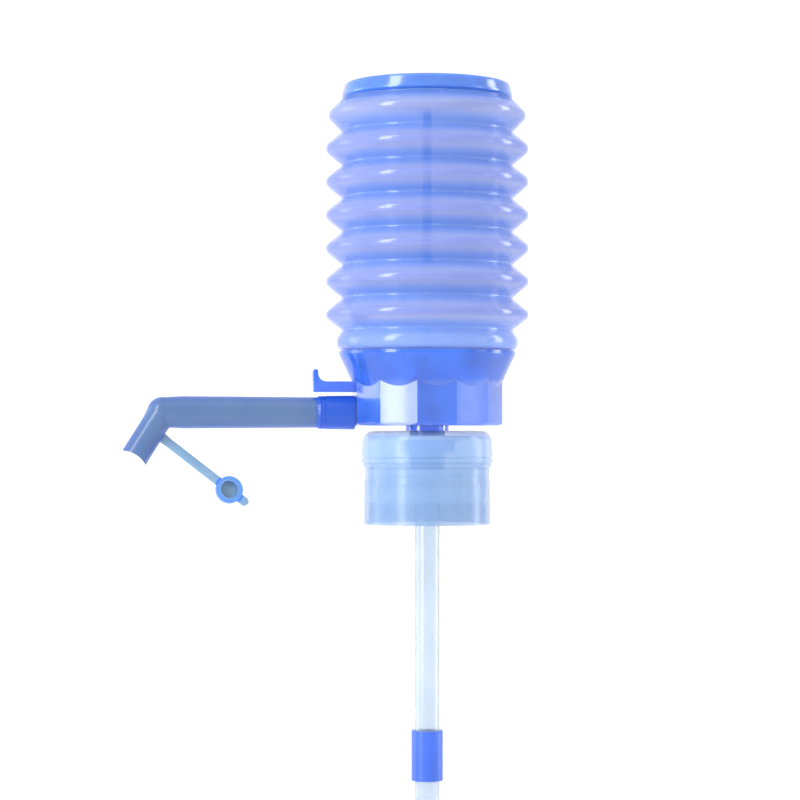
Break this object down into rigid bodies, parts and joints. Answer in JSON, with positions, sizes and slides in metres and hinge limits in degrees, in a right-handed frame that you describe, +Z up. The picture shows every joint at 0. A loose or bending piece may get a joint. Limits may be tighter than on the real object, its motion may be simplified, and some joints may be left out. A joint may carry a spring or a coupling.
{
  "type": "water jug hand pump",
  "caption": "Bellows hand pump for a water jug: palm cap, translucent pleated bellows, faceted housing, bent spout with a tethered dust cap, snap collar and dip tube.",
  "frame": {"origin": "on the pump's axis, in the plane where the collar's gasket rests on the jug's lip", "axes": "+Z up along the pump's axis, -X along the spout, +Y to the back"},
  "size_m": [0.1947, 0.0974, 0.6236],
  "materials": {
    "blue_plastic": "glossy translucent blue",
    "cap_plastic": "glossy light blue",
    "bellows_plastic": "glossy translucent violet blue",
    "spout_plastic": "satin translucent steel blue",
    "frosted_plastic": "frosted clear with a blue tint",
    "tube_plastic": "clear",
    "valve_plastic": "matte white",
    "silicone": "matte milky silicone",
    "seal_rubber": "matte black",
    "steel": "drawn wire"
  },
  "bodies": {
    "pump_body": {"collar": "frosted_plastic", "collar_gasket": "silicone", "neck_washer": "seal_rubber", "neck_nut": "blue_plastic", "housing": "blue_plastic", "bellows": "bellows_plastic", "foot_seal": "silicone", "guide_pin": "steel", "inlet_seat_gasket": "seal_rubber", "inlet_seat": "valve_plastic", "inlet_cage": "valve_plastic", "outlet_seat": "valve_plastic", "spout_ring": "seal_rubber", "dip_tube_upper": "tube_plastic", "dip_tube_middle": "tube_plastic", "dip_tube_lower": "tube_plastic", "coupling_upper": "blue_plastic", "coupling_lower": "blue_plastic"},
    "press": {"press_cap": "cap_plastic", "cap_seal": "silicone", "guide_tube": "blue_plastic"},
    "inlet_valve": {"inlet_disc": "silicone"},
    "outlet_valve": {"outlet_flap": "silicone"},
    "spout_tube": {"spout": "spout_plastic"},
    "cap_and_strap": {"strap": "spout_plastic", "dust_cap": "spout_plastic"}
  },
  "joints": [
    {"name": "press_stroke", "type": "slide", "parent": "pump_body", "child": "press", "axis": [0, 0, -1], "range_m": [0, 0.062], "stiffness_N_per_m": 500, "deforming": ["bellows"]},
    {"name": "inlet_lift", "type": "slide", "parent": "pump_body", "child": "inlet_valve", "axis": [0, 0, 1], "range_m": [0, 0.0025]},
    {"name": "outlet_swing", "type": "hinge", "parent": "pump_body", "child": "outlet_valve", "pos_m": [-0.05221, 0, 0.01727], "axis": [0, 1, 0], "range_deg": [0, 55], "stiffness_Nm_per_rad": 0.00001},
    {"name": "spout_swivel", "type": "hinge", "parent": "pump_body", "child": "spout_tube", "pos_m": [-0.045, 0, 0.0132], "axis": [-1, 0, 0], "continuous": true},
    {"name": "strap_flex", "type": "hinge", "parent": "spout_tube", "child": "cap_and_strap", "pos_m": [-0.12625, 0, 0.00035], "axis": [-0.5855, -0.309, -0.7494], "range_deg": [-80, 80], "stiffness_Nm_per_rad": 0.002}
  ]
}
